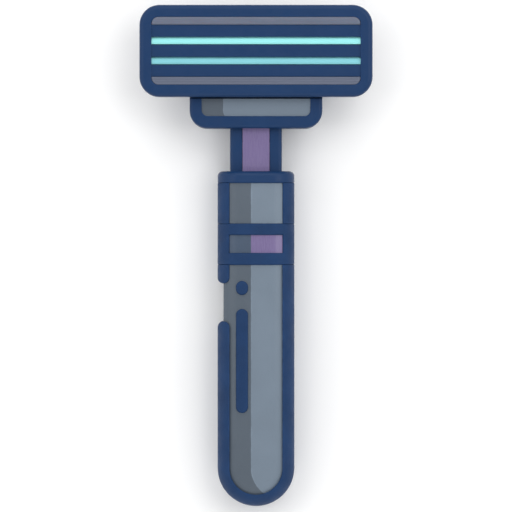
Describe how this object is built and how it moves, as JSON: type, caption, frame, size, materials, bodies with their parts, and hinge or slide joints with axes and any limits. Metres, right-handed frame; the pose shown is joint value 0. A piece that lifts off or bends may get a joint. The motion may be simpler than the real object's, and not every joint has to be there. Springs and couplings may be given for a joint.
{
  "type": "cartridge razor",
  "caption": "Compact body razor with a wide pivoting blade cartridge, a sprung release slider in the neck and a banded handle with a soft rail round its edge.",
  "frame": {"origin": "on the surface under the razor, at the middle of its length and width, with the razor lying on its back", "axes": "+Y along the handle from its round end to the head, +X across the razor to the right when the blades are seen with the head at the top, +Z out of the shaving face"},
  "size_m": [0.0466, 0.1004, 0.0143],
  "materials": {
    "panel_light": "satin moulded plastic, light blue-grey",
    "panel_dark": "satin moulded plastic, dark grey",
    "soft_grip": "soft-touch elastomer, navy, fine matt texture",
    "navy_plastic": "satin moulded plastic, navy",
    "accent_purple": "gloss moulded plastic, muted purple",
    "slider_purple": "gloss moulded plastic, muted purple",
    "accent_slate": "satin moulded plastic, slate blue",
    "core_plastic": "plain moulded plastic, inside the handle",
    "plunger_plastic": "plain white low-friction plastic",
    "lubricant": "waxy water-soluble polymer, grey",
    "guard_rubber": "soft elastomer, grey, matt",
    "blade_upper": "ground steel with a pale cyan coating",
    "blade_lower": "ground steel with a teal coating",
    "steel": "plain stainless steel",
    "spring_steel": "drawn stainless spring wire"
  },
  "bodies": {
    "handle": {"shoulder_panel_light": "panel_light", "shoulder_panel_dark": "panel_dark", "shoulder_panel_back": "panel_light", "shoulder_rail_right": "soft_grip", "shoulder_rail_left": "soft_grip", "accent_band_light": "accent_purple", "accent_band_dark": "accent_slate", "accent_band_back": "accent_purple", "band_sleeve": "soft_grip", "front_panel_light": "panel_light", "front_panel_dark": "panel_dark", "grip_dot": "soft_grip", "grip_strip": "soft_grip", "grip_rail_main": "soft_grip", "grip_rail_stub": "soft_grip", "back_cover": "panel_dark", "rear_grip_pad": "soft_grip", "top_collar": "navy_plastic", "handle_core": "core_plastic", "balance_weight": "steel", "neck_dowel": "steel", "neck_frame": "navy_plastic", "slider_spring": "spring_steel", "plunger_spring": "spring_steel", "spring_seat": "core_plastic"},
    "slider": {"release_slider": "slider_purple"},
    "plunger": {"return_plunger": "plunger_plastic"},
    "yoke": {"yoke": "navy_plastic", "yoke_face_light": "panel_light", "yoke_face_dark": "panel_dark", "pivot_pins": "steel"},
    "cartridge": {"cartridge_tray": "navy_plastic", "cartridge_bezel": "navy_plastic", "lubricating_strip": "lubricant", "guard_strip": "guard_rubber", "lower_blade": "blade_lower", "lower_blade_carrier": "steel", "upper_blade": "blade_upper", "upper_blade_carrier": "steel"}
  },
  "joints": [
    {"name": "head_release", "type": "slide", "parent": "handle", "child": "yoke", "axis": [0, 1, 0], "range_m": [0, 0.012]},
    {"name": "cartridge_pivot", "type": "hinge", "parent": "yoke", "child": "cartridge", "pos_m": [0, 0.038, 0.0072], "axis": [-1, 0, 0], "range_deg": [0, 36], "stiffness_Nm_per_rad": 0.012, "springref_deg": -20.05},
    {"name": "slider_push", "type": "slide", "parent": "handle", "child": "slider", "axis": [0, 1, 0], "range_m": [0, 0.0025], "stiffness_N_per_m": 400, "springref_m": -0.002, "deforming": ["slider_spring"]},
    {"name": "plunger_slide", "type": "slide", "parent": "handle", "child": "plunger", "axis": [0, -1, 0], "range_m": [0, 0.0016], "deforming": ["plunger_spring"]}
  ],
  "couplings": [
    {"joint": "plunger_slide", "follows": "cartridge_pivot", "m_per_rad": 0.0024}
  ]
}
